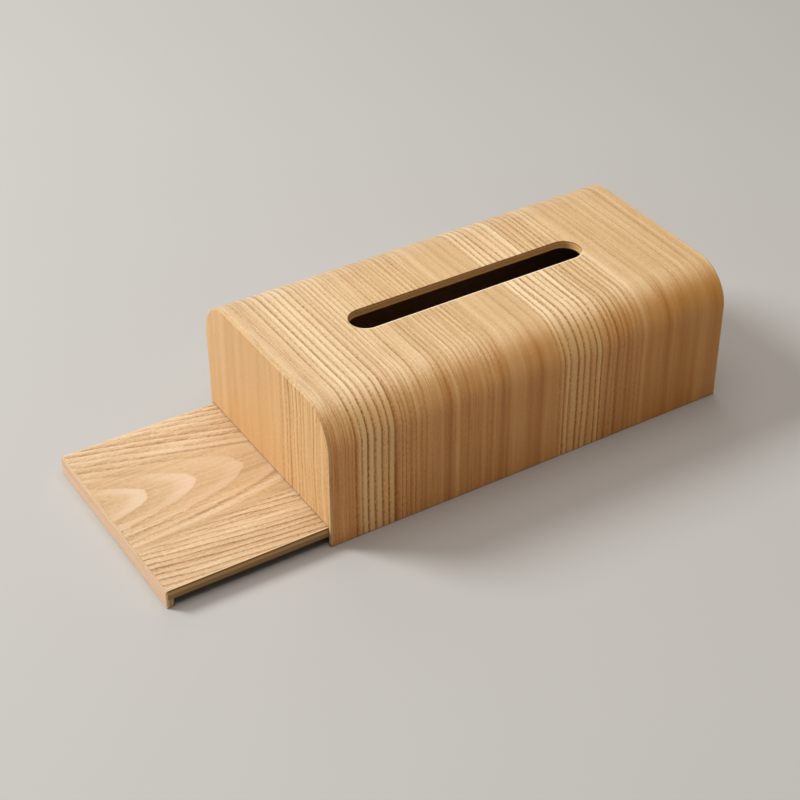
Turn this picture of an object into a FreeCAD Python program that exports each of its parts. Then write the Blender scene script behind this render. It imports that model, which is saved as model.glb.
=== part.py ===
# Tissue box with a sliding base board: a moulded plywood arch closed by two flat ends, and a
# board with a turned-down lip that runs in grooves near the foot of the two long walls.
#
# Frame: millimetres, +Z up, the surface it stands on at Z = 0. The box is long in X, the board
# pulls out towards -X, and the origin is under the middle of the box and its pulled-out board.
import FreeCAD, Part

import math
import os

import Sketcher

# ---------------------------------------------------------------- driving dimensions
# alias, millimetres, meaning
DRIVING = [
    ("case_length", 260.0, "overall length of the box"),
    ("case_width", 137.0, "overall width of the box"),
    ("case_height", 84.0, "overall height of the box"),
    ("corner_radius", 24.0, "outside radius of the two bent long edges"),
    ("face_veneer", 0.6, "ash face sheet of the moulded shell"),
    ("shell_ply", 3.8, "moulded core of the shell"),
    ("lining_veneer", 0.6, "backing sheet inside the shell and the ends"),
    ("end_veneer", 1.0, "face sheet over each flat end"),
    ("end_ply", 5.0, "core of each flat end"),
    ("end_ease", 0.8, "rounding along the outer edge of each end"),
    ("foot_relief", 0.4, "face and backing sheets stop this far above the foot"),
    ("slot_length", 152.0, "dispensing slot, end to end"),
    ("slot_width", 19.5, "dispensing slot, side to side"),
    ("slot_ease", 0.4, "rounding along the two rims of the slot"),
    ("board_veneer", 0.6, "face sheets of the board and the back of the lip"),
    ("board_ply", 4.8, "core of the board"),
    ("board_overlap", 2.1, "how far the board reaches into each long wall"),
    ("board_ease", 0.3, "rounding along the top edges of the board"),
    ("lip_drop", 5.0, "lip below the underside of the board"),
    ("lip_ply", 2.6, "core of the lip"),
    ("front_band", 1.0, "ash strip over the front of board and lip"),
    ("floor_gap", 0.3, "clearance under the lip"),
    ("slide_gap", 0.25, "clearance of the board in its grooves"),
    ("mouth_gap", 0.5, "clearance over the board at the front end"),
    ("stop_gap", 0.5, "clearance behind the board and the lip when shut"),
    ("pull_out", 94.5, "how far the board stands out as stored"),
]

# ---------------------------------------------------------------- what follows from them
# name, formula over the sheet and the names above it
DERIVED = [
    ("wall", "sizes.face_veneer + sizes.shell_ply + sizes.lining_veneer"),
    ("shell_length", "sizes.case_length - 2 * sizes.end_veneer"),
    ("ply_width", "sizes.case_width - 2 * sizes.face_veneer"),
    ("ply_top", "sizes.case_height - sizes.face_veneer"),
    ("ply_radius", "sizes.corner_radius - sizes.face_veneer"),
    ("inside_width", "sizes.case_width - 2 * derived.wall"),
    ("inside_top", "sizes.case_height - derived.wall"),
    ("inside_radius", "sizes.corner_radius - derived.wall"),
    ("lining_width", "derived.inside_width + 2 * sizes.lining_veneer"),
    ("lining_top", "derived.inside_top + sizes.lining_veneer"),
    ("lining_radius", "derived.inside_radius + sizes.lining_veneer"),
    ("slot_radius", "sizes.slot_width / 2"),
    ("slot_centres", "sizes.slot_length - sizes.slot_width"),
    ("board_width", "derived.inside_width + 2 * sizes.board_overlap"),
    ("board_under", "sizes.floor_gap + sizes.lip_drop"),
    ("board_ply_at", "derived.board_under + sizes.board_veneer"),
    ("board_face_at", "derived.board_ply_at + sizes.board_ply"),
    ("board_top", "derived.board_face_at + sizes.board_veneer"),
    ("front_height", "derived.board_top - sizes.floor_gap"),
    ("groove_width", "derived.board_width + 2 * sizes.slide_gap"),
    ("groove_bottom", "derived.board_under - sizes.slide_gap"),
    ("groove_height", "derived.board_top + sizes.slide_gap - derived.groove_bottom"),
    ("mouth_top", "derived.board_top + sizes.mouth_gap"),
    ("lip_back_at", "sizes.front_band + sizes.lip_ply"),
    ("lip_depth", "derived.lip_back_at + sizes.board_veneer"),
    ("mouth_depth", "derived.lip_depth + sizes.stop_gap - sizes.end_veneer"),
    ("end_lining_at", "sizes.end_veneer + sizes.end_ply"),
    ("end_depth", "derived.end_lining_at + sizes.lining_veneer"),
    ("board_length", "sizes.case_length - derived.end_depth - sizes.stop_gap"),
    ("sheet_length", "derived.board_length - sizes.front_band"),
    ("shell_front", "-derived.shell_length / 2"),
    ("case_x", "sizes.pull_out / 2"),
    ("front_x", "derived.case_x - sizes.case_length / 2"),
    ("rear_x", "derived.case_x + sizes.case_length / 2"),
    ("board_x", "derived.front_x - sizes.pull_out"),
]

TOUCH = 1e-4  # millimetres within which a point counts as lying on a plane or line

doc = FreeCAD.newDocument("TissueBox")
sizes = doc.addObject("Spreadsheet::Sheet", "sizes")
derived = doc.addObject("App::VarSet", "derived")
bodies = []


def fill_sheet():
    """Write the driving dimensions as plain numbers, one aliased row each."""
    for row, (alias, millimetres, meaning) in enumerate(DRIVING, start=1):
        sizes.set("A%d" % row, meaning)
        sizes.set("B%d" % row, str(millimetres))
        sizes.setAlias("B%d" % row, alias)
    doc.recompute()


def fill_derived():
    """Bind each derived size to its formula, in order, so that later ones can use earlier ones."""
    for name, formula in DERIVED:
        derived.addProperty("App::PropertyFloat", name, "Derived")
        derived.setExpression(name, formula)
        doc.recompute()


def now(name):
    """Present value of one named size, such as sizes.case_width or derived.wall."""
    holder, size = name.split(".")
    return getattr({"sizes": sizes, "derived": derived}[holder], size)


# ---------------------------------------------------------------- bodies and sketches
def new_body(label, x_at, turned=False):
    """A body whose own origin stands at x_at along the box; turned faces it the other way."""
    body = doc.addObject("PartDesign::Body", label)
    body.Label = label
    if turned:
        body.Placement = FreeCAD.Placement(FreeCAD.Vector(), FreeCAD.Rotation(180, 0, 0))
    body.setExpression("Placement.Base.x", x_at)
    bodies.append(body)
    return body


def new_sketch(body, name, role, offset=None):
    """A sketch on one of the body's own origin planes, moved along its normal by offset."""
    sketch = body.newObject("Sketcher::SketchObject", name)
    plane = next(o for o in body.Origin.OriginFeatures if o.Role == role)
    sketch.AttachmentSupport = [(plane, "")]
    sketch.MapMode = "FlatFace"
    if offset:
        sketch.setExpression("AttachmentOffset.Base.z", offset)
    return sketch


# Sketcher's numbers: the root point, a curve's points, and the two axes
ROOT, START, END, CENTRE = -1, 1, 2, 3
X_AXIS, Y_AXIS = -1, -2
QUARTER = math.pi / 2


def dimension(sketch, name, kind, points, size):
    """A named driving constraint, started at its present value and bound to its size."""
    index = sketch.addConstraint(Sketcher.Constraint(kind, *points, now(size)))
    sketch.renameConstraint(index, name)
    sketch.setExpression("Constraints." + name, size)


def constrain(sketch, rules):
    for rule in rules:
        sketch.addConstraint(Sketcher.Constraint(*rule))


def line(sketch, start, end):
    return sketch.addGeometry(Part.LineSegment(FreeCAD.Vector(*start, 0), FreeCAD.Vector(*end, 0)))


def bend(sketch, centre, radius, quarters, sweep=1):
    """An anticlockwise arc that starts at a number of quarter turns and sweeps some more."""
    circle = Part.Circle(FreeCAD.Vector(*centre, 0), FreeCAD.Vector(0, 0, 1), radius)
    arc = Part.ArcOfCircle(circle, quarters * QUARTER, (quarters + sweep) * QUARTER)
    return sketch.addGeometry(arc)


def half_arches(sketch, half, top, radius, foot):
    """One inverted U, symmetric about the upright axis: leg, bend, crown, bend, leg."""
    left_leg = line(sketch, (-half, foot), (-half, top - radius))
    left_bend = bend(sketch, (-half + radius, top - radius), radius, 1)
    crown = line(sketch, (-half + radius, top), (half - radius, top))
    right_bend = bend(sketch, (half - radius, top - radius), radius, 0)
    right_leg = line(sketch, (half, top - radius), (half, foot))
    constrain(sketch, [
        ("Tangent", left_leg, END, left_bend, END),
        ("Tangent", left_bend, START, crown, START),
        ("Tangent", crown, END, right_bend, END),
        ("Tangent", right_bend, START, right_leg, START),
        ("Vertical", left_leg),
        ("Vertical", right_leg),
        ("Symmetric", left_leg, START, right_leg, END, Y_AXIS),
    ])
    return left_leg, left_bend, crown, right_bend, right_leg


def arch(sketch, width, top, radius, foot=None, sheet=None):
    """The section of the box: a filled arch, or a bent sheet of one thickness along it.

    Every argument is the name of a size. Without foot, the arch stands on the X axis.
    """
    low = now(foot) if foot else 0.0
    outer = half_arches(sketch, now(width) / 2, now(top), now(radius), low)
    left_leg, left_bend, crown, right_bend, right_leg = outer
    dimension(sketch, "width", "DistanceX", (left_leg, START, right_leg, END), width)
    dimension(sketch, "top", "DistanceY", (ROOT, START, crown, START), top)
    dimension(sketch, "radius", "Radius", (left_bend,), radius)
    constrain(sketch, [("Equal", left_bend, right_bend), ("Horizontal", crown)])
    if foot:
        dimension(sketch, "foot", "DistanceY", (ROOT, START, left_leg, START), foot)
    else:
        constrain(sketch, [("PointOnObject", left_leg, START, X_AXIS)])
    if not sheet:
        base = line(sketch, (now(width) / 2, low), (-now(width) / 2, low))
        constrain(sketch, [("Coincident", right_leg, END, base, START),
                           ("Coincident", base, END, left_leg, START)])
        return
    thick = now(sheet)
    inner = half_arches(sketch, now(width) / 2 - thick, now(top) - thick, now(radius) - thick, low)
    left_foot = line(sketch, (-now(width) / 2, low), (thick - now(width) / 2, low))
    right_foot = line(sketch, (now(width) / 2, low), (now(width) / 2 - thick, low))
    constrain(sketch, [
        ("Coincident", left_bend, CENTRE, inner[1], CENTRE),
        ("Coincident", right_bend, CENTRE, inner[3], CENTRE),
        ("Coincident", left_leg, START, left_foot, START),
        ("Coincident", left_foot, END, inner[0], START),
        ("Coincident", right_leg, END, right_foot, START),
        ("Coincident", right_foot, END, inner[4], END),
        ("Horizontal", left_foot),
    ])
    dimension(sketch, "sheet", "DistanceX", (left_foot, START, left_foot, END), sheet)


def rectangle(sketch, width, height, bottom=None):
    """A rectangle centred on the upright axis; without bottom, it stands on the X axis."""
    half, low = now(width) / 2, now(bottom) if bottom else 0.0
    high = low + now(height)
    corners = [(-half, low), (half, low), (half, high), (-half, high)]
    base, right, lid, left = [line(sketch, corners[i], corners[(i + 1) % 4]) for i in range(4)]
    constrain(sketch, [
        ("Coincident", base, END, right, START),
        ("Coincident", right, END, lid, START),
        ("Coincident", lid, END, left, START),
        ("Coincident", left, END, base, START),
        ("Horizontal", lid),
        ("Vertical", left),
        ("Vertical", right),
        ("Symmetric", base, START, base, END, Y_AXIS),
    ])
    dimension(sketch, "width", "DistanceX", (base, START, base, END), width)
    dimension(sketch, "height", "DistanceY", (right, START, right, END), height)
    if bottom:
        dimension(sketch, "bottom", "DistanceY", (ROOT, START, base, START), bottom)
    else:
        constrain(sketch, [("PointOnObject", base, START, X_AXIS)])


def stadium(sketch, centres, radius):
    """A round-ended slot along X about the origin."""
    reach, round_off = now(centres) / 2, now(radius)
    near = line(sketch, (-reach, -round_off), (reach, -round_off))
    right = bend(sketch, (reach, 0), round_off, -1, 2)
    far = line(sketch, (reach, round_off), (-reach, round_off))
    left = bend(sketch, (-reach, 0), round_off, 1, 2)
    constrain(sketch, [
        ("Tangent", near, END, right, START),
        ("Tangent", right, END, far, START),
        ("Tangent", far, END, left, START),
        ("Tangent", left, END, near, START),
        ("Horizontal", near),
        ("Symmetric", left, CENTRE, right, CENTRE, ROOT, START),
        ("PointOnObject", right, CENTRE, X_AXIS),
    ])
    dimension(sketch, "centres", "DistanceX", (left, CENTRE, right, CENTRE), centres)
    dimension(sketch, "radius", "Radius", (right,), radius)


# ---------------------------------------------------------------- features
def pad(body, sketch, length, both_ways=False):
    """Pad a section along the box."""
    feature = body.newObject("PartDesign::Pad", "pad")
    feature.Profile = sketch
    feature.SideType = "Symmetric" if both_ways else "One side"
    feature.setExpression("Length", length)
    sketch.Visibility = False
    doc.recompute()
    return feature


def pocket(body, sketch, depth=None, both_ways=False, forward=False):
    """Cut a section out of the body, through all of it or to a depth, and see that it cut."""
    before = body.Tip.Shape.Volume
    feature = body.newObject("PartDesign::Pocket", "pocket")
    feature.Profile = sketch
    feature.SideType = "Symmetric" if both_ways else "One side"
    feature.Reversed = forward
    if depth:
        feature.setExpression("Length", depth)
    else:
        feature.Type = "ThroughAll"
    doc.recompute()
    if not feature.Shape.Volume < before - TOUCH:
        raise RuntimeError("%s: %s cuts nothing" % (body.Label, sketch.Name))
    return feature


def ease(body, radius, wanted):
    """Round the edges of the body's tip whose middle point passes the test."""
    tip = body.Tip
    names = []
    for number, edge in enumerate(tip.Shape.Edges, start=1):
        middle = edge.valueAt((edge.FirstParameter + edge.LastParameter) / 2)
        if wanted(edge, middle):
            names.append("Edge%d" % number)
    feature = body.newObject("PartDesign::Fillet", "ease")
    feature.Base = (tip, names)
    feature.setExpression("Radius", radius)
    doc.recompute()
    if not feature.Shape.Volume < tip.Shape.Volume - TOUCH:
        raise RuntimeError("%s: the rounding did not take" % body.Label)
    return feature


def near(one, other):
    return abs(one - other) < TOUCH


# ---------------------------------------------------------------- moulded shell
def cut_slot(body):
    """The dispensing slot, cut down through the crown."""
    sketch = new_sketch(body, "slot", "XY_Plane", "sizes.case_height")
    stadium(sketch, "derived.slot_centres", "derived.slot_radius")
    pocket(body, sketch)


def cut_grooves(body):
    """One long cut that leaves a groove in each wall, and a land under it for the board."""
    sketch = new_sketch(body, "grooves", "YZ_Plane")
    rectangle(sketch, "derived.groove_width", "derived.groove_height", "derived.groove_bottom")
    pocket(body, sketch, both_ways=True)


def cut_mouth(body, depth, offset=None):
    """The opening that board and lip pass, cut in from the front by depth."""
    sketch = new_sketch(body, "mouth", "YZ_Plane", offset)
    rectangle(sketch, "derived.groove_width", "derived.mouth_top")
    pocket(body, sketch, depth, forward=True)


def ease_slot(body, rim_height):
    """Round the rim of the slot that lies at one height."""
    rim, reach = now(rim_height), now("sizes.slot_length") / 2 + TOUCH
    beside = now("derived.slot_radius") + TOUCH
    ease(body, "sizes.slot_ease",
         lambda edge, middle: near(middle.z, rim) and abs(middle.x) < reach
         and abs(middle.y) < beside)


def shell_sheet(label, width, top, radius, sheet, foot=None):
    """One bent sheet of the shell, with the slot through its crown."""
    body = new_body(label, "derived.case_x")
    sketch = new_sketch(body, "section", "YZ_Plane")
    arch(sketch, width, top, radius, foot, sheet)
    pad(body, sketch, "derived.shell_length", both_ways=True)
    cut_slot(body)
    return body


def build_shell():
    """Face sheet, moulded core and backing sheet, pressed as one arch."""
    face = shell_sheet("shell_face_veneer", "sizes.case_width", "sizes.case_height",
                       "sizes.corner_radius", "sizes.face_veneer", "sizes.foot_relief")
    ease_slot(face, "sizes.case_height")
    core = shell_sheet("shell_core", "derived.ply_width", "derived.ply_top",
                       "derived.ply_radius", "sizes.shell_ply")
    lining = shell_sheet("shell_lining_veneer", "derived.lining_width", "derived.lining_top",
                         "derived.lining_radius", "sizes.lining_veneer", "sizes.foot_relief")
    for body in (core, lining):
        cut_grooves(body)
        cut_mouth(body, "derived.mouth_depth", "derived.shell_front")
    ease_slot(lining, "derived.inside_top")


# ---------------------------------------------------------------- flat ends
def end_veneer(label, x_at, turned=False):
    """The outer sheet of one end, as large as the whole box, its outer edge rounded."""
    body = new_body(label, x_at, turned)
    sketch = new_sketch(body, "outline", "YZ_Plane")
    arch(sketch, "sizes.case_width", "sizes.case_height", "sizes.corner_radius", "sizes.foot_relief")
    pad(body, sketch, "sizes.end_veneer")
    return body


def ease_end(body):
    """Round the legs, bends and crown of an end's outer face, and not its foot or mouth."""
    half, crown = now("sizes.case_width") / 2, now("sizes.case_height")
    ease(body, "sizes.end_ease",
         lambda edge, middle: near(middle.x, 0)
         and (near(abs(middle.y), half) or near(middle.z, crown)
              or isinstance(edge.Curve, Part.Circle)))


def end_sheet(label, x_at, offset, thickness, foot=None, turned=False):
    """A sheet of one end that fits inside the shell."""
    body = new_body(label, x_at, turned)
    sketch = new_sketch(body, "outline", "YZ_Plane", offset)
    arch(sketch, "derived.inside_width", "derived.inside_top", "derived.inside_radius", foot)
    pad(body, sketch, thickness)


def build_ends():
    """The front end stops over the board's mouth; the rear end reaches the foot."""
    front = end_veneer("front_end_veneer", "derived.front_x")
    cut_mouth(front, "sizes.end_veneer")
    ease_end(front)
    rear = end_veneer("rear_end_veneer", "derived.rear_x", turned=True)
    ease_end(rear)
    for name, x_at, foot, turned in (("front", "derived.front_x", "derived.mouth_top", False),
                                     ("rear", "derived.rear_x", None, True)):
        end_sheet(name + "_end_core", x_at, "sizes.end_veneer", "sizes.end_ply", foot, turned)
        end_sheet(name + "_end_lining", x_at, "derived.end_lining_at", "sizes.lining_veneer",
                  foot or "sizes.foot_relief", turned)


# ---------------------------------------------------------------- sliding board
def board_sheet(label, at, length, bottom, thickness):
    """A flat sheet of the sliding board, from a distance behind its front face."""
    body = new_body(label, "derived.board_x")
    sketch = new_sketch(body, "section", "YZ_Plane", at)
    rectangle(sketch, "derived.board_width", thickness, bottom)
    pad(body, sketch, length)
    return body


def build_board():
    """A veneered board, the lip under its front edge and the strip that covers both."""
    board_sheet("board_core", "sizes.front_band", "derived.sheet_length",
                "derived.board_ply_at", "sizes.board_ply")
    board_sheet("board_bottom_veneer", "sizes.front_band", "derived.sheet_length",
                "derived.board_under", "sizes.board_veneer")
    face = board_sheet("board_top_veneer", "sizes.front_band", "derived.sheet_length",
                       "derived.board_face_at", "sizes.board_veneer")
    side = now("derived.board_width") / 2
    top = now("derived.board_top")
    ease(face, "sizes.board_ease",
         lambda edge, middle: near(middle.z, top) and near(abs(middle.y), side))
    board_sheet("lip_core", "sizes.front_band", "sizes.lip_ply",
                "sizes.floor_gap", "sizes.lip_drop")
    board_sheet("lip_back_veneer", "derived.lip_back_at", "sizes.board_veneer",
                "sizes.floor_gap", "sizes.lip_drop")
    band = board_sheet("board_front_band", None, "sizes.front_band",
                       "sizes.floor_gap", "derived.front_height")
    ease(band, "sizes.board_ease",
         lambda edge, middle: near(middle.x, 0) and not near(middle.z, now("sizes.floor_gap")))


# ---------------------------------------------------------------- checks and files
def check_document():
    """Stop on any object that failed to compute and any body without one sound shape."""
    doc.recompute()
    for thing in doc.Objects:
        if {"Invalid", "Error"} & set(thing.State):
            raise RuntimeError("%s is %s" % (thing.Label, thing.State))
        if thing.isDerivedFrom("Sketcher::SketchObject") and not thing.FullyConstrained:
            raise RuntimeError("%s is loose" % thing.Label)
    for body in bodies:
        if body.Shape.isNull() or not body.Shape.isValid():
            raise RuntimeError("%s has no sound shape" % body.Label)


def write_steps():
    os.makedirs("parts", exist_ok=True)
    for body in bodies:
        body.Shape.exportStep("parts/%s.step" % body.Label)
        box = body.Shape.BoundBox
        print("%-20s %2d solid, %9.1f mm3, x %.2f..%.2f y %.2f..%.2f z %.2f..%.2f" % (
            body.Label, len(body.Shape.Solids), body.Shape.Volume,
            box.XMin, box.XMax, box.YMin, box.YMax, box.ZMin, box.ZMax))


fill_sheet()
fill_derived()
build_shell()
build_ends()
build_board()
check_document()
write_steps()
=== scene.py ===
"""Looks of the tissue box with its sliding base board: ash veneer, plywood edges, soft studio light."""

import math

import bpy
from mathutils import Matrix, Vector

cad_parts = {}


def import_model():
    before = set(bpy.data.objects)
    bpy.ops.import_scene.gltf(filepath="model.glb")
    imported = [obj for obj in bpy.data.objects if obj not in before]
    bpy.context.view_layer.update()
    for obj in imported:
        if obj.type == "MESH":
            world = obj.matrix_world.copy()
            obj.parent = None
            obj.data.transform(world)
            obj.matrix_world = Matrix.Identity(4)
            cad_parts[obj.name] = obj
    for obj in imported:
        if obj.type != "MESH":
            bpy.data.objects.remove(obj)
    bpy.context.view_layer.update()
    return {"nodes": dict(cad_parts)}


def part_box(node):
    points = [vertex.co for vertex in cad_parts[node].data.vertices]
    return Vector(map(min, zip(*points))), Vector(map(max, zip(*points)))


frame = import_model()
nodes = frame["nodes"]

MM = 1000.0                         # millimetres in a metre: the grain is worked out in millimetres
X, Y, Z = range(3)


def low(node, axis):
    """The lowest place of a CAD node along an axis, in millimetres."""
    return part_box(node)[0][axis] * MM


def high(node, axis):
    """The highest place of a CAD node along an axis, in millimetres."""
    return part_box(node)[1][axis] * MM


# ---------------------------------------------------------------- sizes of the box
CASE_X0, CASE_X1 = low("shell_face_veneer", X), high("shell_face_veneer", X)
CASE_TOP = high("shell_face_veneer", Z)
HALF_WIDTH = (high("shell_face_veneer", Y) - low("shell_face_veneer", Y)) / 2
CORNER_RADIUS = 24.0                # outside radius of the two bent long edges
SLOT_LENGTH, SLOT_WIDTH = 152.0, 19.5
SLOT_X = (CASE_X0 + CASE_X1) / 2


# ---------------------------------------------------------------- node graphs
class Value:
    """A number that varies over the surface; arithmetic on it adds Math nodes."""

    def __init__(self, graph, socket):
        self.graph, self.socket = graph, socket

    def __add__(self, other):
        return self.graph.math("ADD", self, other)

    def __sub__(self, other):
        return self.graph.math("SUBTRACT", self, other)

    def __rsub__(self, other):
        return self.graph.math("SUBTRACT", other, self)

    def __mul__(self, other):
        return self.graph.math("MULTIPLY", self, other)

    def __truediv__(self, other):
        return self.graph.math("DIVIDE", self, other)

    __radd__, __rmul__ = __add__, __mul__


class Graph:
    """The node tree of one new material, with short ways to add and join nodes."""

    def __init__(self, name):
        self.material = bpy.data.materials.new(name)
        self.material.use_nodes = True
        self.tree = self.material.node_tree
        self.shader = self.tree.nodes["Principled BSDF"]

    def add(self, kind, **settings):
        node = self.tree.nodes.new("ShaderNode" + kind)
        for key, setting in settings.items():
            setattr(node, key, setting)
        return node

    def feed(self, socket, value):
        if isinstance(value, Value):
            self.tree.links.new(value.socket, socket)
        else:
            socket.default_value = value

    def math(self, operation, first, second=0.0):
        node = self.add("Math", operation=operation)
        self.feed(node.inputs[0], first)
        self.feed(node.inputs[1], second)
        return Value(self, node.outputs[0])

    def apart(self, socket):
        """The three parts of a vector or colour socket."""
        node = self.add("SeparateXYZ")
        self.tree.links.new(socket, node.inputs[0])
        return [Value(self, part) for part in node.outputs]

    def place(self):
        """Where the surface is, in millimetres of the frame; it rides with the piece."""
        return [part * MM for part in self.apart(self.add("TexCoord").outputs["Object"])]

    def facing(self):
        """Which way the surface faces, as three parts of its unit normal."""
        return self.apart(self.add("TexCoord").outputs["Normal"])

    def noise(self, x, y, z=0.0, detail=1.0, roughness=0.5):
        """Smooth noise from -0.5 to 0.5, with features about one unit across."""
        where = self.add("CombineXYZ")
        for socket, value in zip(where.inputs, (x, y, z)):
            self.feed(socket, value)
        node = self.add("TexNoise")
        self.tree.links.new(where.outputs[0], node.inputs["Vector"])
        node.inputs["Scale"].default_value = 1.0
        node.inputs["Detail"].default_value = detail
        node.inputs["Roughness"].default_value = roughness
        return Value(self, node.outputs["Fac"]) - 0.5

    def grain(self, first, second, size, seed, detail=1.0, roughness=0.5):
        """Noise over two distances, with features of the given size along each of them."""
        return self.noise(first / size[0], second / size[1], seed, detail, roughness)

    def chance(self, value, seed=0.0):
        """A fixed random number from 0 to 1 for each whole number."""
        node = self.add("TexWhiteNoise", noise_dimensions="1D")
        self.feed(node.inputs["W"], self.math("FLOOR", value) + (0.37 + seed))
        return Value(self, node.outputs["Value"])

    def step(self, value, start, end):
        """0 below start, 1 above end, smooth between."""
        node = self.add("MapRange", interpolation_type="SMOOTHSTEP")
        for socket, number in zip(node.inputs, (value, start, end, 0.0, 1.0)):
            self.feed(socket, number)
        return Value(self, node.outputs[0])

    def until(self, value, start, end):
        """1 below start, 0 above end, smooth between."""
        return 1.0 - self.step(value, start, end)

    def around(self, value, middle, near, far):
        """1 within near of the middle, 0 beyond far of it, smooth between."""
        return self.until(self.math("ABSOLUTE", value - middle), near, far)

    def ramp(self, value, stops):
        """The colour output of a ramp whose stops are (position, (red, green, blue))."""
        node = self.add("ValToRGB")
        elements = node.color_ramp.elements
        while len(elements) < len(stops):
            elements.new(1.0)
        for element, (position, colour) in zip(elements, stops):
            element.position = position
            element.color = (*colour, 1.0)
        self.feed(node.inputs[0], value)
        return node.outputs["Color"]

    def zones(self, value, rows):
        """Three numbers that change along value; rows are (value, first, second, third), 0 to 1."""
        first, last = rows[0][0], rows[-1][0]
        stops = [((row[0] - first) / (last - first), row[1:]) for row in rows]
        return self.apart(self.ramp((value - first) * (1 / (last - first)), stops))

    def curve(self, value, points):
        """One number that follows the straight runs between points (value, number)."""
        most = max(number for _, number in points)
        rows = [(at, *(number / most,) * 3) for at, number in points]
        return self.zones(value, rows)[0] * most

    def blend(self, amount, first, second):
        """The colour output of a mix of two colours."""
        node = self.add("Mix", data_type="RGBA")
        self.feed(node.inputs["Factor"], amount)
        for socket, colour in ((node.inputs[6], first), (node.inputs[7], second)):
            if isinstance(colour, tuple):
                socket.default_value = (*colour, 1.0)
            else:
                self.tree.links.new(colour, socket)
        return node.outputs[2]

    def finish(self, colour, roughness, height, depth):
        """Join colour, roughness and a bump height to the shader; depth is in millimetres."""
        self.tree.links.new(colour, self.shader.inputs["Base Color"])
        self.feed(self.shader.inputs["Roughness"], roughness)
        bump = self.add("Bump")
        bump.inputs["Distance"].default_value = depth / MM
        self.feed(bump.inputs["Height"], height)
        self.tree.links.new(bump.outputs[0], self.shader.inputs["Normal"])
        return self.material


# ---------------------------------------------------------------- ash
# Colour of ash from the darkest pore line to the palest latewood, in linear light
TOP_STOPS = [
    (0.00, (0.250, 0.124, 0.040)),
    (0.22, (0.380, 0.205, 0.074)),
    (0.42, (0.500, 0.298, 0.124)),
    (0.58, (0.590, 0.376, 0.176)),
    (0.75, (0.690, 0.474, 0.250)),
    (1.00, (0.860, 0.660, 0.420)),
]
# The same for the long sides, darker and warmer: painted shade
SHADED_SIDE_STOPS = [
    (0.00, (0.285, 0.088, 0.012)),
    (0.25, (0.430, 0.150, 0.025)),
    (0.45, (0.570, 0.218, 0.042)),
    (0.60, (0.688, 0.289, 0.069)),
    (0.80, (0.870, 0.446, 0.148)),
    (1.00, (1.000, 0.655, 0.290)),
]
LEFT_PALE_AND_SHEEN = (0.78, 0.60, 0.41)      # the lighter left part of the moulded sheet: paler wood with a painted sheen
RIGHT_BROWN = (0.64, 0.27, 0.02)    # the warmer right part of its near side
FAR_BEND_PAINTED_SHADE = (0.25, 0.17, 0.16)      # painted shade on its far bend
EDGE_PALE = (0.83, 0.60, 0.34)      # wood where an edge is rubbed smooth
RIM_PAINTED_HIGHLIGHT = (0.98, 0.83, 0.62)       # painted highlight on the near rim of the slot
RIM_PAINTED_SHADE = (0.27, 0.125, 0.030)    # painted shade on the far rim of the slot
EDGE_PAINTED_SHADE = (0.50, 0.29, 0.12)     # painted shade on the rounded outer edge of each end
CUT_EDGE_AND_SHADOW = (0.145, 0.062, 0.012)    # the sawn edge of a veneer, dark with oil, and the painted shadow in the joint over the board
RED_PATCH = (0.74, 0.44, 0.22)      # patches a shade redder than the rest, and on the ends
END_RED_PATCH = (0.82, 0.42, 0.14)

# One ring, from the dark pore line that opens it through brown earlywood to pale latewood
RING_STOPS = [
    (0.00, 1.00), (0.16, 1.00), (0.27, 0.48), (0.44, 0.15), (0.58, 0.00), (0.94, 0.00), (1.00, 1.00),
]
# The same on the flat-sawn board, where the earlywood is broad
BOARD_RING_STOPS = [
    (0.00, 1.00), (0.14, 0.95), (0.28, 0.58), (0.52, 0.36), (0.68, 0.00), (0.95, 0.00), (1.00, 1.00),
]

# Sizes of the marks in the wood, in millimetres across the grain and along it
THREADS = (1.5, 240.0)              # fine light and dark threads
BROAD = (8.0, 300.0)                # wide soft changes of tone
PORES = (0.8, 24.0)                 # open pores, as dark dashes
FLECKS = (0.5, 2.4)                 # specks
GAPS = (0.9, 6.5)                   # breaks in the pore lines
PORES_SHOW, GAPS_SHOW = (0.05, 0.16), (-0.10, 0.18)   # noise at which they begin and are complete
PATCH_LENGTH, PATCHES_SHOW = 60.0, (-0.05, 0.25)

# How much each mark changes the shade, where 1 is the whole range of a colour ramp
RING_LEAST, RING_UNEVEN = 0.55, 0.55     # strength of the faintest ring, and how much rings differ
RINGED_PALER, RING_OWN_TONE = 0.18, 0.15    # ringed wood is paler between its lines
LINE_DARK, LINE_SPECKLE = 0.68, 1.3
THREAD_TONE, BROAD_TONE, FLECK_CONTRAST = 2.1, 0.24, 1.6
PORE_DARK, PORE_DARK_FINE = 0.02, 0.20      # in any wood, and more where the threads are strong
FLECK_TONE, FLECK_TONE_RINGED, FLECK_TONE_FINE = 0.14, 0.25, 0.35
PLAIN_ROUGHNESS, LINE_ROUGHER, FLECK_SMOOTHER = 0.44, 0.14, 0.10
LINE_DEEP, FLECK_HIGH, THREAD_HIGH, THREAD_HIGH_FINE, PORE_DEEP = 0.35, 0.30, 0.1, 0.8, 0.3


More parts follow.
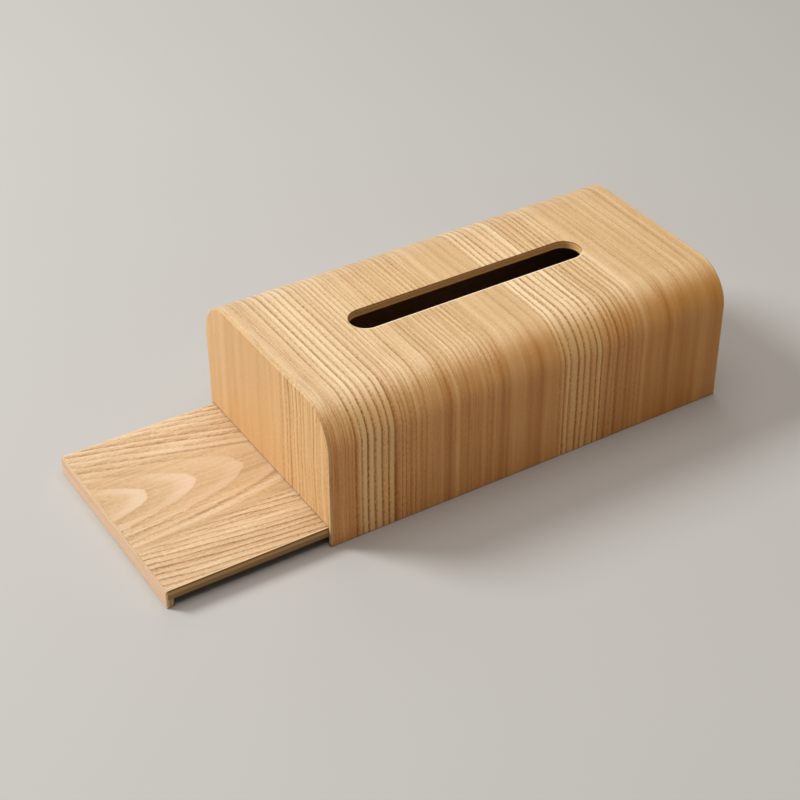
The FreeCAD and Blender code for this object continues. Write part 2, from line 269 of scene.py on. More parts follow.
def ash(graph, across, along, phase, rib, tone, fine, seed, ring_stops=RING_STOPS, broken=0.15, sharp=1.0):
    """Shade, roughness and height of ash; phase counts rings, across and along are millimetres.

    rib is how strongly the rings show, tone the shade of plain wood, fine the contrast of threads,
    broken how far the pore lines fall apart into short dashes and sharp how narrow they are.
    """
    ring = graph.math("POWER", graph.curve(graph.math("FRACT", phase), ring_stops), sharp)
    strength = graph.chance(phase, seed) * RING_UNEVEN + RING_LEAST
    own_tone = graph.chance(phase, seed + 0.5) - 0.5
    threads = graph.grain(across, along, THREADS, seed, detail=3.0, roughness=0.75)
    broad = graph.grain(across, along, BROAD, seed + 5)
    pores = graph.step(graph.grain(across, along, PORES, seed + 3), *PORES_SHOW)
    flecks = graph.grain(across, along, FLECKS, seed + 7, detail=2.0, roughness=0.8) * FLECK_CONTRAST
    gaps = graph.step(graph.grain(across, along, GAPS, seed + 9, detail=2.0, roughness=0.7), *GAPS_SHOW)
    line = ring * strength * rib * (1.0 - gaps * broken)
    shade = (
        tone
        + rib * (own_tone * RING_OWN_TONE + RINGED_PALER)
        - line * (LINE_DARK - flecks * LINE_SPECKLE)
        + threads * fine * THREAD_TONE
        + broad * BROAD_TONE
        - pores * (fine * PORE_DARK_FINE + PORE_DARK)
        + flecks * (rib * FLECK_TONE_RINGED + fine * FLECK_TONE_FINE + FLECK_TONE)
    )
    roughness = PLAIN_ROUGHNESS + line * LINE_ROUGHER - flecks * FLECK_SMOOTHER
    height = (
        0.5
        - line * LINE_DEEP
        + flecks * FLECK_HIGH
        + threads * (fine * THREAD_HIGH_FINE + THREAD_HIGH)
        - pores * fine * PORE_DEEP
    )
    return shade, roughness, height


def wander(graph, along, across, bends, seed):
    """How far the grain strays to one side; bends are (length, breadth, how far) in millimetres."""
    (length, breadth, far), (short_length, short_breadth, less) = bends
    return (graph.grain(along, across, (length, breadth), seed[0]) * far
            + graph.grain(along, across, (short_length, short_breadth), seed[1]) * less)


def tinted(graph, colour, across, along, seed, tint=RED_PATCH, width=22.0, amount=0.16):
    """Patches a shade redder than the rest, width across the grain."""
    patch = graph.grain(across, along, (width, PATCH_LENGTH), seed + 17)
    return graph.blend(graph.step(patch, *PATCHES_SHOW) * amount, colour, tint)


# ---------------------------------------------------------------- the moulded sheet of the box
# Grain met along the box at the top, in millimetres of the frame:
# strength of the ring lines, tone, and contrast of the fine threads
SHELL_ZONES = [
    (-71.0, 0.20, 0.66, 0.80), (-67.5, 0.55, 0.66, 0.45), (-62.0, 0.90, 0.66, 0.35),
    (-56.0, 0.90, 0.74, 0.32), (-50.0, 0.88, 0.69, 0.30), (-43.0, 0.68, 0.68, 0.45),
    (-35.0, 0.58, 0.64, 0.50), (-30.0, 0.48, 0.70, 0.45), (-13.0, 0.28, 0.72, 0.45),
    (-10.0, 0.45, 0.61, 0.50), (-5.0, 0.40, 0.62, 0.55), (3.0, 0.22, 0.64, 0.60),
    (13.0, 0.25, 0.66, 0.55), (16.0, 0.50, 0.57, 0.55), (30.0, 0.25, 0.63, 0.50),
    (32.5, 0.10, 0.74, 0.25), (37.0, 0.10, 0.65, 0.25), (50.0, 0.25, 0.60, 0.25),
    (60.0, 0.15, 0.65, 0.25), (65.0, 0.90, 0.77, 0.25), (78.0, 1.00, 0.75, 0.25),
    (92.0, 0.95, 0.78, 0.30), (95.5, 0.80, 0.55, 0.50), (106.0, 0.60, 0.61, 0.60),
    (119.0, 0.52, 0.72, 0.45), (123.0, 0.10, 0.74, 0.30), (132.0, 0.35, 0.56, 0.40),
    (140.0, 0.15, 0.63, 0.40), (148.0, 0.35, 0.63, 0.45), (162.0, 0.15, 0.67, 0.35),
    (168.0, 0.30, 0.61, 0.40), (178.0, 0.15, 0.64, 0.40),
]
# Rings counted from the left end of that sheet
SHELL_RINGS = [
    (-84.0, 0.0), (-67.0, 2.0), (-60.2, 4.0), (-51.2, 6.0), (-43.1, 8.0), (-38.5, 9.0), (-33.6, 11.0),
    (-19.7, 15.0), (-12.0, 18.0), (30.0, 32.0), (62.0, 37.0), (65.6, 38.0), (94.8, 45.0), (122.0, 53.0),
    (178.0, 63.0),
]
SHELL_BENDS = ((120.0, 60.0, 2.0), (26.0, 14.0, 0.35))
SHELL_RING_WAVER, SHELL_WAVERS, LEFT_WAVERS_LESS = (6.0, 140.0), 1.2, 0.9   # size, and rings
STREAKS = (6.0, 400.0)              # long soft streaks down the sides

# Where the sheet changes, in millimetres from where a change starts to where it is complete.
# x runs along the box and y across it; run is the way from the middle of the top down a side
LEFT_ENDS = (-60.0, -5.0)           # x: the paler left part
RIGHT_STARTS = (0.0, 60.0)          # x: the quieter, browner right part
RIGHT_END_STARTS = (95.0, 170.0)    # x: where it gets browner still
FAR_STARTS = (-5.0, 30.0)           # y: the far half of the top
FAR_CALM_STARTS = (30.0, 62.0)      # x: where the rings of that half get fainter
DULL_STARTS = (57.0, 64.0)          # x: where its strongest rings are duller, and to where
DULL_ENDS = (90.0, 97.0)
FAR_BEND = (34.0, 56.0)             # y: the far bend
FAR_SIDE_STARTS = (0.0, 20.0)       # y: where the painted shade of the sides gives way to more of the colours of the top
SIDE_STARTS = (HALF_WIDTH - 21.0, HALF_WIDTH + 13.0)   # run: the bend into a side
SHADED_SIDE_COLOUR_STARTS = (42.0, 79.0)   # run: the darker, warmer colours of the sides, which are painted shade
BEND_LIGHT_STARTS = (38.0, 60.0)        # run: painted light on the bends, and to where
BEND_LIGHT_ENDS = (76.0, 96.0)
NEAR_RIM_ENDS = (-9.0, -5.0)        # y: the near rim of the slot
HIGHLIGHT_RIM, SHADED_RIM = (0.5, 1.3), (0.2, 0.6)   # distance from the slot over which the painted highlight and shade of its rims fade out

# How much these changes do: to the strength of the rings,
RINGS_OVERALL = 1.12
SIDE_FAINTER, LEFT_SIDE_FAINTER_LESS = 0.35, 0.14   # taken from faint and strong rings alike
SIDE_STRONGER, LEFT_SIDE_STRONGER = 0.5, 0.05
RIGHT_SIDE_WEAKER, FAR_WEAKER = 0.25, 0.28
# to the threads,
SIDE_THREADS_LESS, BEND_LIGHT_THREADS_MORE = 0.55, 0.25
# to the shade,
STREAK_TONE = 0.6
BEND_LIGHT_PALER, LEFT_BEND_LIGHT_PALER, LEFT_SIDE_PALER, DULL_DARKER = 0.15, 0.04, 0.06, 0.06
# and to the colour and gloss
LEFT_PALER_AND_SHEEN, RIGHT_BROWNER, RIGHT_END_BROWNER = 0.14, 0.12, 0.35
FAR_SIDE_LIKE_TOP, FAR_BEND_SHADE_SHOWS = 0.6, 0.25
HIGHLIGHT_RIM_SHOWS, SHADED_RIM_SHOWS, SHADED_RIM_ROUGHER = 0.85, 0.8, 0.4


def shell_rings(graph, rib, x, left, side, far):
    """Strength of the rings, fainter down the sides and on the far right of the top."""
    fainter = side * (SIDE_FAINTER - left * LEFT_SIDE_FAINTER_LESS)
    kept = graph.math("MAXIMUM", rib - fainter, 0.0) * (side * SIDE_STRONGER + 1.0)
    weaker = side * graph.step(x, *RIGHT_STARTS) * RIGHT_SIDE_WEAKER
    calm = far * graph.step(x, *FAR_CALM_STARTS) * FAR_WEAKER
    return kept * (left * side * LEFT_SIDE_STRONGER + RINGS_OVERALL - weaker - calm)


def shell_colour(graph, shade, x, y, run, left):
    """The paler colours of the top run into the darker, warmer ones of the sides: painted shade, weaker on
    the far side.
    """
    # the left of the top: paler wood with a painted sheen
    on_top = graph.blend(left * LEFT_PALER_AND_SHEEN, graph.ramp(shade, TOP_STOPS), LEFT_PALE_AND_SHEEN)
    to_right = (graph.step(x, *RIGHT_STARTS) * RIGHT_BROWNER
                + graph.step(x, *RIGHT_END_STARTS) * RIGHT_END_BROWNER)
    # painted shade: the sides take darker, warmer colours
    shaded_side = graph.blend(to_right, graph.ramp(shade, SHADED_SIDE_STOPS), RIGHT_BROWN)
    like_top = graph.step(y, *FAR_SIDE_STARTS) * FAR_SIDE_LIKE_TOP
    return graph.blend(graph.step(run, *SHADED_SIDE_COLOUR_STARTS) * (1.0 - like_top), on_top, shaded_side)


def slot_rims(graph, x, y):
    """1 on the near rim of the slot and 1 on its far rim, each fading out over its edge."""
    half_straight = (SLOT_LENGTH - SLOT_WIDTH) / 2
    past_straight = graph.math("MAXIMUM", graph.math("ABSOLUTE", x - SLOT_X) - half_straight, 0.0)
    from_slot = graph.math("SQRT", past_straight * past_straight + y * y) - SLOT_WIDTH / 2
    near = graph.until(y, *NEAR_RIM_ENDS)
    return near * graph.until(from_slot, *HIGHLIGHT_RIM), (1.0 - near) * graph.until(from_slot, *SHADED_RIM)


def ash_shell():
    """Grain that runs over the top and down both long sides in one sheet."""
    graph = Graph("ash_shell")
    x, y, z = graph.place()
    run = graph.math("ABSOLUTE", y) + (CASE_TOP - z)
    along = run * graph.math("SIGN", y)
    across = x + wander(graph, along, x, SHELL_BENDS, seed=(3.0, 7.0))
    left = graph.until(x, *LEFT_ENDS)
    side = graph.step(run, *SIDE_STARTS)
    far = graph.step(y, *FAR_STARTS)
    # painted light on the bends, which lifts them and their threads
    painted_highlight = graph.step(run, *BEND_LIGHT_STARTS) * graph.until(run, *BEND_LIGHT_ENDS)
    dull = far * graph.step(x, *DULL_STARTS) * graph.until(x, *DULL_ENDS)

    rib, tone, fine = graph.zones(across, SHELL_ZONES)
    rib = shell_rings(graph, rib, x, left, side, far)
    fine = fine * (1.0 - side * SIDE_THREADS_LESS) + painted_highlight * left * BEND_LIGHT_THREADS_MORE
    waver = graph.grain(across, along, SHELL_RING_WAVER, 11.0, detail=2.0)
    phase = graph.curve(across, SHELL_RINGS) + waver * (SHELL_WAVERS - left * LEFT_WAVERS_LESS)
    shade, roughness, height = ash(graph, across, along, phase, rib, tone, fine, seed=0.0)
    shade = (
        shade
        + graph.grain(across, along, STREAKS, 23.0) * side * STREAK_TONE
        + painted_highlight * (left * LEFT_BEND_LIGHT_PALER + BEND_LIGHT_PALER)
        + side * left * LEFT_SIDE_PALER
        - dull * DULL_DARKER
    )

    colour = shell_colour(graph, shade, x, y, run, left)
    colour = tinted(graph, colour, across, along, 0.0)
    # painted shade along the far bend
    colour = graph.blend(graph.step(y, *FAR_BEND) * FAR_BEND_SHADE_SHOWS, colour, FAR_BEND_PAINTED_SHADE)
    near_rim, far_rim = slot_rims(graph, x, y)
    # painted highlight on the near rim of the slot, painted shade on its far rim
    colour = graph.blend(near_rim * HIGHLIGHT_RIM_SHOWS, colour, RIM_PAINTED_HIGHLIGHT)
    colour = graph.blend(far_rim * SHADED_RIM_SHOWS, colour, RIM_PAINTED_SHADE)
    return graph.finish(colour, roughness + far_rim * SHADED_RIM_ROUGHER, height, depth=0.30)


# ---------------------------------------------------------------- the two ends
# Upright grain, met across an end in millimetres: strength of the rings, tone, contrast of the threads
END_ZONES = [
    (-70.0, 0.20, 0.64, 0.40), (-61.0, 0.50, 0.56, 0.50), (-58.0, 0.40, 0.57, 0.55),
    (-46.0, 0.50, 0.58, 0.55), (-36.0, 0.70, 0.57, 0.55), (-20.0, 0.60, 0.57, 0.50),
    (-14.0, 0.20, 0.58, 0.30), (-8.0, 0.30, 0.54, 0.25), (-4.0, 0.08, 0.58, 0.20),
    (5.0, 0.25, 0.53, 0.20), (12.0, 0.05, 0.57, 0.15), (34.0, 0.08, 0.55, 0.15),
    (42.0, 0.20, 0.52, 0.18), (47.0, 0.05, 0.62, 0.15), (52.0, 0.05, 0.62, 0.15),
    (56.0, 0.35, 0.50, 0.20), (60.0, 0.08, 0.56, 0.20), (70.0, 0.10, 0.58, 0.20),
]
END_RINGS = [(-70.0, 0.35), (-60.0, 2.0), (-48.0, 6.0), (-20.0, 13.0), (-4.0, 16.0), (70.0, 24.0)]
END_STOPS = [
    (0.00, (0.300, 0.138, 0.045)),
    (0.25, (0.510, 0.265, 0.100)),
    (0.45, (0.690, 0.396, 0.160)),
    (0.60, (0.790, 0.470, 0.205)),
    (0.78, (0.865, 0.560, 0.275)),
    (1.00, (0.930, 0.670, 0.390)),
]
END_BENDS = ((60.0, 40.0, 4.0), (16.0, 12.0, 0.7))
END_RING_WAVER, END_WAVERS = (7.0, 80.0), 0.9   # size, and rings
END_RINGS_SHOW, END_PALER = 0.85, 0.03
# The sawn foot of an end, and the dark joint over the board with its painted shadow, fade out upwards over
# these millimetres
FOOT_LINE, MOUTH_LINE = (0.3, 1.3), (0.8, 1.5)
MOUTH_MARGIN, MOUTH_SHADOW_DARK, CUT_LINE_SHOWS = 0.6, 0.5, 0.8
ROUNDED_EDGE, EDGE_SHADE_SHOWS = (0.02, 0.16), 0.55


def shadow_line_over_board(graph, y, z):
    """The dark joint along the mouth, just above the board, partly painted shadow of the gap."""
    half_board, board_top = high("board_top_veneer", Y), high("board_top_veneer", Z)
    in_mouth = graph.around(y, 0.0, half_board, half_board + MOUTH_MARGIN)
    return in_mouth * graph.until(z, board_top + MOUTH_LINE[0], board_top + MOUTH_LINE[1])


def ash_end(name, side, seed, foot, over_board=False):
    """Upright grain of one end; side is 1 or -1 for the way its sheet was laid, foot its lower edge."""
    graph = Graph(name)
    _, y, z = graph.place()
    across = y * side + wander(graph, z, y, END_BENDS, seed=(seed + 1, seed + 2))
    rib, tone, fine = graph.zones(across, END_ZONES)
    phase = graph.curve(across, END_RINGS)
    phase = phase + graph.grain(across, z, END_RING_WAVER, seed + 3, detail=2.0) * END_WAVERS
    shade, roughness, height = ash(
        graph, across, z, phase, rib * END_RINGS_SHOW, tone + END_PALER, fine, seed)
    colour = tinted(
        graph, graph.ramp(shade, END_STOPS), across, z, seed, END_RED_PATCH, width=5.0, amount=0.25)
    cut = graph.until(z, foot + FOOT_LINE[0], foot + FOOT_LINE[1])
    if over_board:
        # the joint over the board: a dark edge and painted shadow
        cut = graph.math("MAXIMUM", cut, shadow_line_over_board(graph, y, z) * MOUTH_SHADOW_DARK)
    colour = graph.blend(cut * CUT_LINE_SHOWS, colour, CUT_EDGE_AND_SHADOW)
    # painted shade on the rounded outer edges
    facing_x = graph.math("ABSOLUTE", graph.facing()[X])
    rounded = graph.step(facing_x * (1.0 - facing_x), *ROUNDED_EDGE)
    colour = graph.blend(rounded * EDGE_SHADE_SHOWS, colour, EDGE_PAINTED_SHADE)
    return graph.finish(colour, roughness, height, depth=0.25)


# ---------------------------------------------------------------- the board
# Its cathedral figure: pointed arcs nested towards the box, in millimetres
ARC_TIP, ARC_LEAN, ARC_SPACING = (-149.5, 14.2), -0.115, 27.0   # one tip, and the line through them all
# On the far side an arc runs back by distance * a, less b * x near its tip, so that the tips get
# blunter with x, and by c * distance ** 2 farther out; on the near side by d * distance ** 2
ARC_ABOVE, ARC_BELOW = (1.45, 0.02, 0.047), 0.07
FAR_FLANK = (5.0, 30.0)             # the tip passes into the flank between these distances
# Straight lines of the near side, and the line where they meet the arcs
LINE_LEAN, LEAN_CHANGES, LINE_SPACING = (-0.17, 0.05), (5.0, 40.0), 4.1
WEDGE, WEDGE_LEAN, WEDGE_EDGE = (-130.0, -25.0), 0.058, (-0.6, 0.6)
FIRST_ARC, FIRST_LINE = 20.0, 5.0   # added to the counts, which keeps them above 0
BOARD_STOPS = [
    (0.00, (0.270, 0.140, 0.058)),
    (0.25, (0.400, 0.228, 0.102)),
    (0.45, (0.505, 0.314, 0.156)),
    (0.60, (0.590, 0.392, 0.218)),
    (0.78, (0.675, 0.482, 0.298)),
    (1.00, (0.770, 0.580, 0.385)),
]
ARC_PALE = (0.75, 0.58, 0.43)       # latewood just inside the tip of an arc

BOARD_BENDS = ((50.0, 30.0, 1.6), (14.0, 6.0, 0.35))
# Ways in which the count of rings wavers: size along and across the board, and rings
LINES_UNEVEN = ((120.0, 5.0), 0.9)
RAGGED = ((5.0, 1.2), 0.07)
CLOUDY = ((22.0, 9.0), 0.20)
# Rings are faint along the row of tips and beside the wedge, and strong beyond these millimetres
TIPS_TO_EDGE, WEDGE_SEAM, SEAM_MIDDLE = (12.0, 30.0), (0.5, 4.5), 1.0
TIP_RINGS, EDGE_RINGS_MORE, LINES_MORE, SEAM_RINGS = 0.22, 0.60, 0.06, 0.2
BOARD_TONE, EDGE_DARKER = 0.59, 0.01
BOARD_THREADS, EDGE_THREADS_MORE = 0.20, 0.20
ARCS_BROKEN, LINES_BROKEN_LESS, LINES_SHARPER = 0.8, 0.45, 1.2
HALF_THE_STRAY = 0.5                # the threads stray less than the rings
# A dark and a pale streak by the box: the arc count of each, its breadth, and how much it shows
DARK_STREAK, DARK_STREAK_SHOWS = (3.08, 0.06, 0.20), 0.16
PALE_STREAK, PALE_STREAK_SHOWS = (3.50, 0.08, 0.22), 0.40
STREAKS_START = (-165.0, -120.0)    # x over which they come in towards the box
LATEWOOD, BY_THE_TIP = (0.40, 0.85), (-4.0, 5.0, 17.0)
LATEWOOD_LEAST, LATEWOOD_UNEVEN = 0.25, 0.3
WORN_EDGE, WORN_EDGE_SHOWS = (1.4, 0.6), 0.5    # millimetres inside the long edges
CUT_SIDE, CUT_SIDE_SHOWS = (0.35, 0.75), 0.95   # how squarely the sawn sides face sideways


def nested_arcs(graph, x, from_tips):
    """Count of the arcs; from_tips is the distance beyond the line through their tips."""
    tip_x = ARC_TIP[X]
    slope, blunter, bend = ARC_ABOVE
    beyond = graph.math("MAXIMUM", from_tips, 0.0)
    short = graph.math("MINIMUM", from_tips, 0.0)
    flank = graph.step(beyond, *FAR_FLANK)
    back = beyond * (slope - (x - tip_x) * (1.0 - flank) * blunter) + beyond * beyond * flank * bend
    return (x - tip_x + back + short * short * ARC_BELOW) / ARC_SPACING


def straight_lines(graph, x, y, stray, under_wedge, seed):
    """Count of the long lines on the near side of the board."""
    wedge_x, wedge_y = WEDGE
    size, rings = LINES_UNEVEN
    lean = graph.step(under_wedge, *LEAN_CHANGES) * LINE_LEAN[1] + LINE_LEAN[0]
    counted = (wedge_y - y - stray + (x - wedge_x) * lean) / LINE_SPACING
    return counted + FIRST_LINE + graph.grain(x, y, size, seed) * rings


def board_colour(graph, x, y, shade, phase, arcs, from_tips, near, seed):
    """The streaks by the box, the pale latewood at the tips, and the edges of the sheet."""
    to_the_box = graph.step(x, *STREAKS_START) * (1.0 - near)
    shade = shade - graph.around(arcs, *DARK_STREAK) * to_the_box * DARK_STREAK_SHOWS
    colour = tinted(graph, graph.ramp(shade, BOARD_STOPS), y, x, seed)
    latewood = graph.step(graph.math("FRACT", phase), *LATEWOOD) * graph.around(from_tips, *BY_THE_TIP)
    uneven = graph.chance(phase, seed) * LATEWOOD_UNEVEN + LATEWOOD_LEAST
    colour = graph.blend(latewood * (1.0 - near) * uneven, colour, ARC_PALE)
    pale_streak = graph.around(arcs, *PALE_STREAK) * to_the_box
    colour = graph.blend(pale_streak * PALE_STREAK_SHOWS, colour, ARC_PALE)
    half_width = high("board_top_veneer", Y)
    worn = graph.step(graph.math("ABSOLUTE", y), half_width - WORN_EDGE[0], half_width - WORN_EDGE[1])
    colour = graph.blend(worn * WORN_EDGE_SHOWS, colour, EDGE_PALE)
    cut = graph.step(graph.math("ABSOLUTE", graph.facing()[Y]), *CUT_SIDE)
    return graph.blend(cut * CUT_SIDE_SHOWS, colour, CUT_EDGE_AND_SHADOW)


def ash_board(name, seed):
    """Flat-sawn grain: arcs along the middle of the board and long lines beside them."""
    graph = Graph(name)
    x, y, _ = graph.place()
    stray = wander(graph, x, y, BOARD_BENDS, seed=(seed + 1, seed + 2))
    from_tips = y + stray - (x - ARC_TIP[X]) * ARC_LEAN - ARC_TIP[Y]
    under_wedge = WEDGE[Y] + (x - WEDGE[X]) * WEDGE_LEAN - y - stray
    near = graph.step(under_wedge, *WEDGE_EDGE)
    arcs = nested_arcs(graph, x, from_tips)
    lines = straight_lines(graph, x, y, stray, under_wedge, seed + 3)
    ragged = graph.grain(x, y, RAGGED[0], seed + 5) * RAGGED[1]
    cloudy = graph.grain(x, y, CLOUDY[0], seed + 6) * (1.0 - near) * CLOUDY[1]
    phase = arcs + ragged + cloudy + (lines - arcs) * near + FIRST_ARC

    edge = graph.step(graph.math("ABSOLUTE", from_tips), *TIPS_TO_EDGE)
    seam = graph.step(graph.math("ABSOLUTE", under_wedge - SEAM_MIDDLE), *WEDGE_SEAM)
    rib = edge * EDGE_RINGS_MORE + TIP_RINGS + near * LINES_MORE
    shade, roughness, height = ash(
        graph, y + stray * HALF_THE_STRAY, x, phase,
        rib=rib * (seam * (1.0 - SEAM_RINGS) + SEAM_RINGS),
        tone=BOARD_TONE - edge * EDGE_DARKER,
        fine=edge * EDGE_THREADS_MORE + BOARD_THREADS,
        seed=seed,
        ring_stops=BOARD_RING_STOPS,
        broken=ARCS_BROKEN - near * LINES_BROKEN_LESS,
        sharp=near * LINES_SHARPER + 1.0,
    )
    colour = board_colour(graph, x, y, shade, phase, arcs, from_tips, near, seed)
    return graph.finish(colour, roughness, height, depth=0.22)


# The strip over the front of the board; its front is painted lighter than its upward face: painted light
BAND_FRONT_PAINTED_LIGHT_STOPS = [
    (0.00, (0.470, 0.262, 0.120)),
    (0.35, (0.720, 0.436, 0.248)),
    (0.60, (0.850, 0.548, 0.338)),
    (1.00, (0.960, 0.690, 0.480)),
]
BAND_BENDS, BAND_WAVER = (40.0, 6.0), 2.0   # size along the strip and up it, and millimetres
BAND_RING, BAND_FIRST_RING, BAND_RING_AT = 3.4, 10.0, 1.2
TOP_EDGE_HIGHLIGHT, TOP_EDGE_HIGHLIGHT_PALER = (1.5, 0.2), 0.6      # painted highlight along the top of its front, millimetres below the top of the strip
UPWARD, UPWARD_PAINTED_DARKER = (0.15, 0.65), 0.12


def ash_band():
    """The ash strip over the front of the board, its grain along the strip."""
    graph = Graph("ash_band")
    _, y, z = graph.place()
    across = z + graph.grain(y, z, BAND_BENDS, 2.0) * BAND_WAVER
    phase = (across + BAND_RING_AT) / BAND_RING + BAND_FIRST_RING
    shade, roughness, height = ash(graph, across, y, phase, rib=0.35, tone=0.60, fine=0.35, seed=31.0)
    top = high("board_front_band", Z)
    # painted highlight along the rounded top of the front
    painted_highlight = graph.step(z, top - TOP_EDGE_HIGHLIGHT[0], top - TOP_EDGE_HIGHLIGHT[1]) * TOP_EDGE_HIGHLIGHT_PALER
    # painted light and shade by facing: the front lighter, the upward face darker
    front_painted_lighter = graph.ramp(shade + painted_highlight, BAND_FRONT_PAINTED_LIGHT_STOPS)
    on_top = graph.ramp(shade - UPWARD_PAINTED_DARKER, BOARD_STOPS)
    colour = graph.blend(graph.step(graph.facing()[Z], *UPWARD), front_painted_lighter, on_top)
    return graph.finish(colour, roughness, height, depth=0.06)


# ---------------------------------------------------------------- plywood and backing
PLIES_OF_SHELL_PAINTED_LIGHT = ((1.00, 0.590, 0.230), (0.88, 0.505, 0.200))   # light and dark ply, painted lighter than the wood to stand in for light on the slot wall
PLIES_OF_BOARD = ((0.62, 0.340, 0.115), (0.35, 0.198, 0.074))
PLIES_OF_LIP = ((0.66, 0.420, 0.180), (0.52, 0.310, 0.125))
GLUE = (0.15, 0.072, 0.020)
GLUE_LINE = (0.06, 0.22)            # millimetres from a seam over which the glue fades out
PLY_WAVE, PLY_WAVE_DEPTH = 9.0, 0.16    # over this length the plies undulate by this much
PLY_FIBRE, FIBRES_SHOW, FIBRE_DARK = 0.5, (0.02, 0.28), 0.40
PLY_ROUGHNESS, FIBRE_ROUGHER = 0.62, 0.2
HARD_EDGE = 0.001                   # millimetres between the two colours at a seam


def plywood(name, plies, depth_of, seams, glue, seed):
    """Cut plies, light and dark in turn, with a thin dark glue line at each seam.

    seams are depths in millimetres under the outer face, and glue is how strongly its lines show.
    """
    graph = Graph(name)
    x, y, z = graph.place()
    wave = graph.noise(x / PLY_WAVE, (y + z) / PLY_WAVE, seed, detail=2.0) * PLY_WAVE_DEPTH
    depth = depth_of(graph, x, y, z) + wave
    span = seams[-1] + 1.0
    stops, dark = [(0.0, (0.0,) * 3)], 0.0
    for seam in seams:
        stops.append((seam / span, (dark,) * 3))
        dark = 1.0 - dark
        stops.append(((seam + HARD_EDGE) / span, (dark,) * 3))
    dark_ply = graph.apart(graph.ramp(depth / span, stops))[0]
    fibres = graph.noise(x / PLY_FIBRE, y / PLY_FIBRE, z / PLY_FIBRE + seed, detail=3.0, roughness=0.7)
    colour = graph.blend(dark_ply, *plies)
    colour = graph.blend(graph.step(fibres, *FIBRES_SHOW) * FIBRE_DARK, colour, GLUE)
    for seam in seams:
        colour = graph.blend(graph.around(depth, seam, *GLUE_LINE) * glue, colour, GLUE)
    return graph.finish(colour, fibres * FIBRE_ROUGHER + PLY_ROUGHNESS, fibres, depth=0.12)


def depth_in_arch(graph, x, y, z):
    """How deep a place lies under the outside of the moulded arch."""
    over_y = graph.math("MAXIMUM", graph.math("ABSOLUTE", y) - (HALF_WIDTH - CORNER_RADIUS), 0.0)
    over_z = graph.math("MAXIMUM", z - (CASE_TOP - CORNER_RADIUS), 0.0)
    return CORNER_RADIUS - graph.math("SQRT", over_y * over_y + over_z * over_z)


# How deep a place lies under a flat face: one that faces up, to the front or to the rear
def below(top):
    return lambda graph, x, y, z: top - z


def behind(front):
    return lambda graph, x, y, z: x - front


def before(rear):
    return lambda graph, x, y, z: rear - x


BACKING_STOPS = [
    (0.15, (0.160, 0.090, 0.040)),
    (0.50, (0.270, 0.160, 0.072)),
    (0.85, (0.370, 0.232, 0.115)),
]
BACKING_FIBRES, BACKING_BROAD = (30.0, 1.2), (90.0, 9.0)    # millimetres along the box and across
BACKING_TONE, FIBRE_TONE, BROAD_BACKING_TONE = 0.5, 0.8, 0.6
BACKING_ROUGHNESS = 0.6


def backing():
    """Plain brown veneer glued on the hidden faces."""
    graph = Graph("backing")
    x, y, z = graph.place()
    (length, breadth), (long, broad) = BACKING_FIBRES, BACKING_BROAD
    fibres = graph.noise(x / length, y / breadth, z / breadth, detail=3.0, roughness=0.6)
    patches = graph.noise(x / long, y / broad, z / broad)
    shade = fibres * FIBRE_TONE + patches * BROAD_BACKING_TONE + BACKING_TONE
    roughness = fibres * FIBRE_ROUGHER + BACKING_ROUGHNESS
    return graph.finish(graph.ramp(shade, BACKING_STOPS), roughness, fibres, depth=0.08)


def dress(names, material):
    for name in names:
        nodes[name].data.materials.clear()
        nodes[name].data.materials.append(material)


def make_materials():
    dress(["shell_face_veneer"], ash_shell())
    dress(["front_end_veneer"], ash_end(
        "ash_end_front", 1.0, seed=40.0, foot=low("front_end_veneer", Z), over_board=True))
    dress(["rear_end_veneer"], ash_end(
        "ash_end_rear", -1.0, seed=60.0, foot=low("rear_end_veneer", Z)))
    dress(["board_top_veneer"], ash_board("ash_board", seed=80.0))
    dress(["board_front_band"], ash_band())
    dress(["shell_core"], plywood(
        "shell_ply", PLIES_OF_SHELL_PAINTED_LIGHT, depth_in_arch, seams=(1.9, 3.1), glue=0.25, seed=5.0))
    dress(["front_end_core"], plywood(
        "front_ply", PLIES_OF_SHELL_PAINTED_LIGHT, behind(low("front_end_core", X)), seams=(1.7, 3.3), glue=0.6, seed=6.0))
    dress(["rear_end_core"], plywood(
        "rear_ply", PLIES_OF_SHELL_PAINTED_LIGHT, before(high("rear_end_core", X)), seams=(1.7, 3.3), glue=0.6, seed=7.0))
    dress(["board_core"], plywood(
        "board_ply", PLIES_OF_BOARD, below(high("board_core", Z)), seams=(0.05, 0.6, 2.6, 4.7), glue=0.25,
        seed=8.0))
    dress(["lip_core"], plywood(
        "lip_ply", PLIES_OF_LIP, behind(low("lip_core", X)), seams=(0.9, 1.8), glue=0.5, seed=9.0))
    dress(["shell_lining_veneer", "front_end_lining", "rear_end_lining", "board_bottom_veneer",
           "lip_back_veneer"], backing())


# ---------------------------------------------------------------- camera and studio
CAMERA_AZIMUTH, CAMERA_ELEVATION, CAMERA_ROLL = -31.82, 36.03, -0.19    # degrees
CAMERA_DISTANCE = 1.0610            # metres from the point it looks at
CAMERA_TARGET = Vector((0.0176, 0.0244, 0.0))
CAMERA_LENS, SENSOR = 81.49, 36.0   # millimetres
CLIP_START, CLIP_END = 0.01, 50     # metres


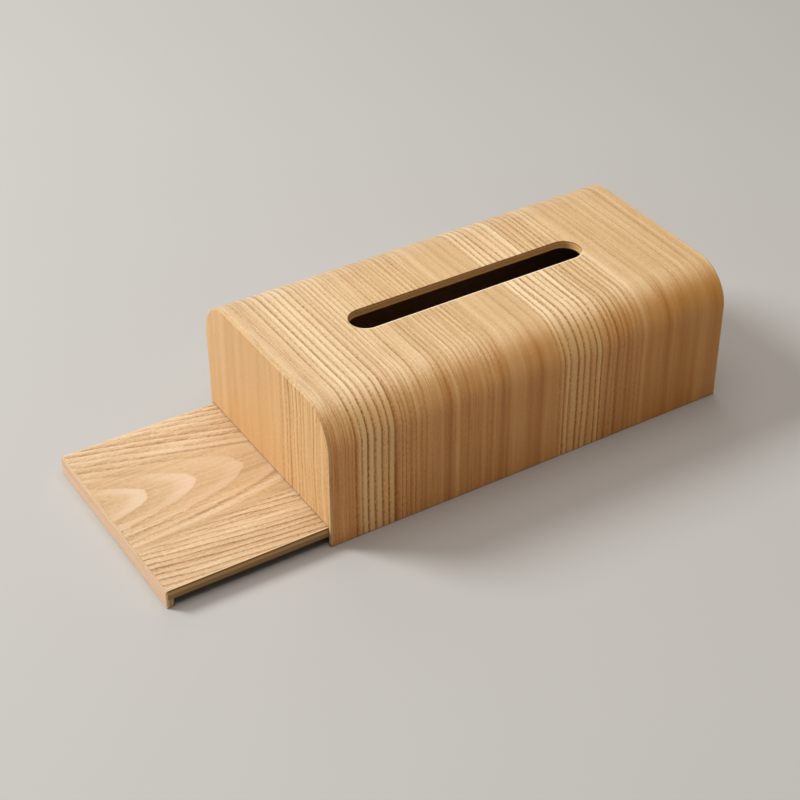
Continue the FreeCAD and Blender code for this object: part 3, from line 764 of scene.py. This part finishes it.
def make_camera():
    """The camera at the height, side and distance that give the box its shape in the picture."""
    azimuth, elevation, roll = (
        math.radians(angle) for angle in (CAMERA_AZIMUTH, CAMERA_ELEVATION, CAMERA_ROLL))
    back = Vector((math.sin(azimuth) * math.cos(elevation), -math.cos(azimuth) * math.cos(elevation),
                   math.sin(elevation)))
    right = (-back).cross(Vector((0, 0, 1))).normalized()
    up = right.cross(-back)
    turned_right = right * math.cos(roll) + up * math.sin(roll)
    turned_up = up * math.cos(roll) - right * math.sin(roll)
    data = bpy.data.cameras.new("camera")
    data.lens, data.sensor_width = CAMERA_LENS, SENSOR
    data.clip_start, data.clip_end = CLIP_START, CLIP_END
    camera = bpy.data.objects.new("camera", data)
    bpy.context.collection.objects.link(camera)
    camera.matrix_world = Matrix.Translation(CAMERA_TARGET + back * CAMERA_DISTANCE) @ Matrix(
        (turned_right, turned_up, back)).transposed().to_4x4()
    bpy.context.scene.camera = camera


# Each lamp's name, place and aim in metres, diameter, watts and colour
LAMPS = [
    ("key", (-1.44, 1.37, 1.67), (0.0, 0.0, 0.03), 0.95, 59.0, (0.97, 1.0, 0.99)),
    ("card", (0.55, 1.40, 1.15), (0.0, 0.0, 0.0), 1.3, 4.5, (1.0, 0.99, 0.97)),
    ("overhead", (0.0, 0.0, 2.2), (0.0, 0.0, 0.0), 2.2, 27.0, (1.0, 0.93, 0.86)),
]
ROOM_COLOUR, ROOM_STRENGTH = (1.0, 0.90, 0.80), 0.14
FLOOR_SIZE = 30.0                   # metres
FLOOR_STOPS = [(0.0, (0.426, 0.418, 0.402)), (1.0, (0.513, 0.501, 0.494))]
FLOOR_AWAY_PAINTED_LIGHT = (0.93, 0.92, 0.91)     # the floor far from the box, painted lighter to stand in for light
AWAY_STARTS = (800.0, 3000.0)       # millimetres from the middle of the box
FLOOR_TONE, FLOOR_ROUGHNESS = 0.57, 0.85
CLOUD, CLOUD_TONE, CLOUD_ROUGHER = 300.0, 0.3, 0.1  # millimetres across the faint clouds, and their effect
PAINTED_SHADE_TOWARDS, PAINTED_SHADE_OVER = (0.53, 0.85), 1800.0  # painted shade: the floor gets darker this way, over this far


def area_light(name, place, aim, size, watts, colour):
    data = bpy.data.lights.new(name, "AREA")
    data.shape, data.size, data.energy, data.color = "DISK", size, watts, colour
    light = bpy.data.objects.new(name, data)
    bpy.context.collection.objects.link(light)
    light.location = place
    light.rotation_euler = (Vector(aim) - Vector(place)).to_track_quat("-Z", "Y").to_euler()


def make_floor():
    """A pale floor without an edge in sight, with painted shade across it and painted light far out."""
    bpy.ops.mesh.primitive_plane_add(size=FLOOR_SIZE, location=(0, 0, 0))
    floor = bpy.context.object
    floor.name = "floor"
    graph = Graph("floor")
    x, y, _ = graph.place()
    cloud = graph.noise(x / CLOUD, y / CLOUD, detail=2.0)
    # painted shade across the floor
    painted_shade = (x * PAINTED_SHADE_TOWARDS[X] + y * PAINTED_SHADE_TOWARDS[Y]) / PAINTED_SHADE_OVER
    colour = graph.ramp(cloud * CLOUD_TONE + FLOOR_TONE - painted_shade, FLOOR_STOPS)
    away = graph.math("SQRT", x * x + y * y)
    # painted light on the floor far from the box
    colour = graph.blend(graph.step(away, *AWAY_STARTS), colour, FLOOR_AWAY_PAINTED_LIGHT)
    roughness = cloud * CLOUD_ROUGHER + FLOOR_ROUGHNESS
    floor.data.materials.append(graph.finish(colour, roughness, cloud, depth=0.01))


def make_studio():
    """The floor, one lamp behind the left end, two fainter ones, and a soft dim room."""
    bpy.context.scene.view_settings.view_transform = "Standard"
    make_floor()
    world = bpy.data.worlds.new("room")
    world.use_nodes = True
    background = world.node_tree.nodes["Background"]
    background.inputs["Color"].default_value = (*ROOM_COLOUR, 1)
    background.inputs["Strength"].default_value = ROOM_STRENGTH
    bpy.context.scene.world = world
    for lamp in LAMPS:
        area_light(*lamp)


make_materials()
make_camera()
make_studio()
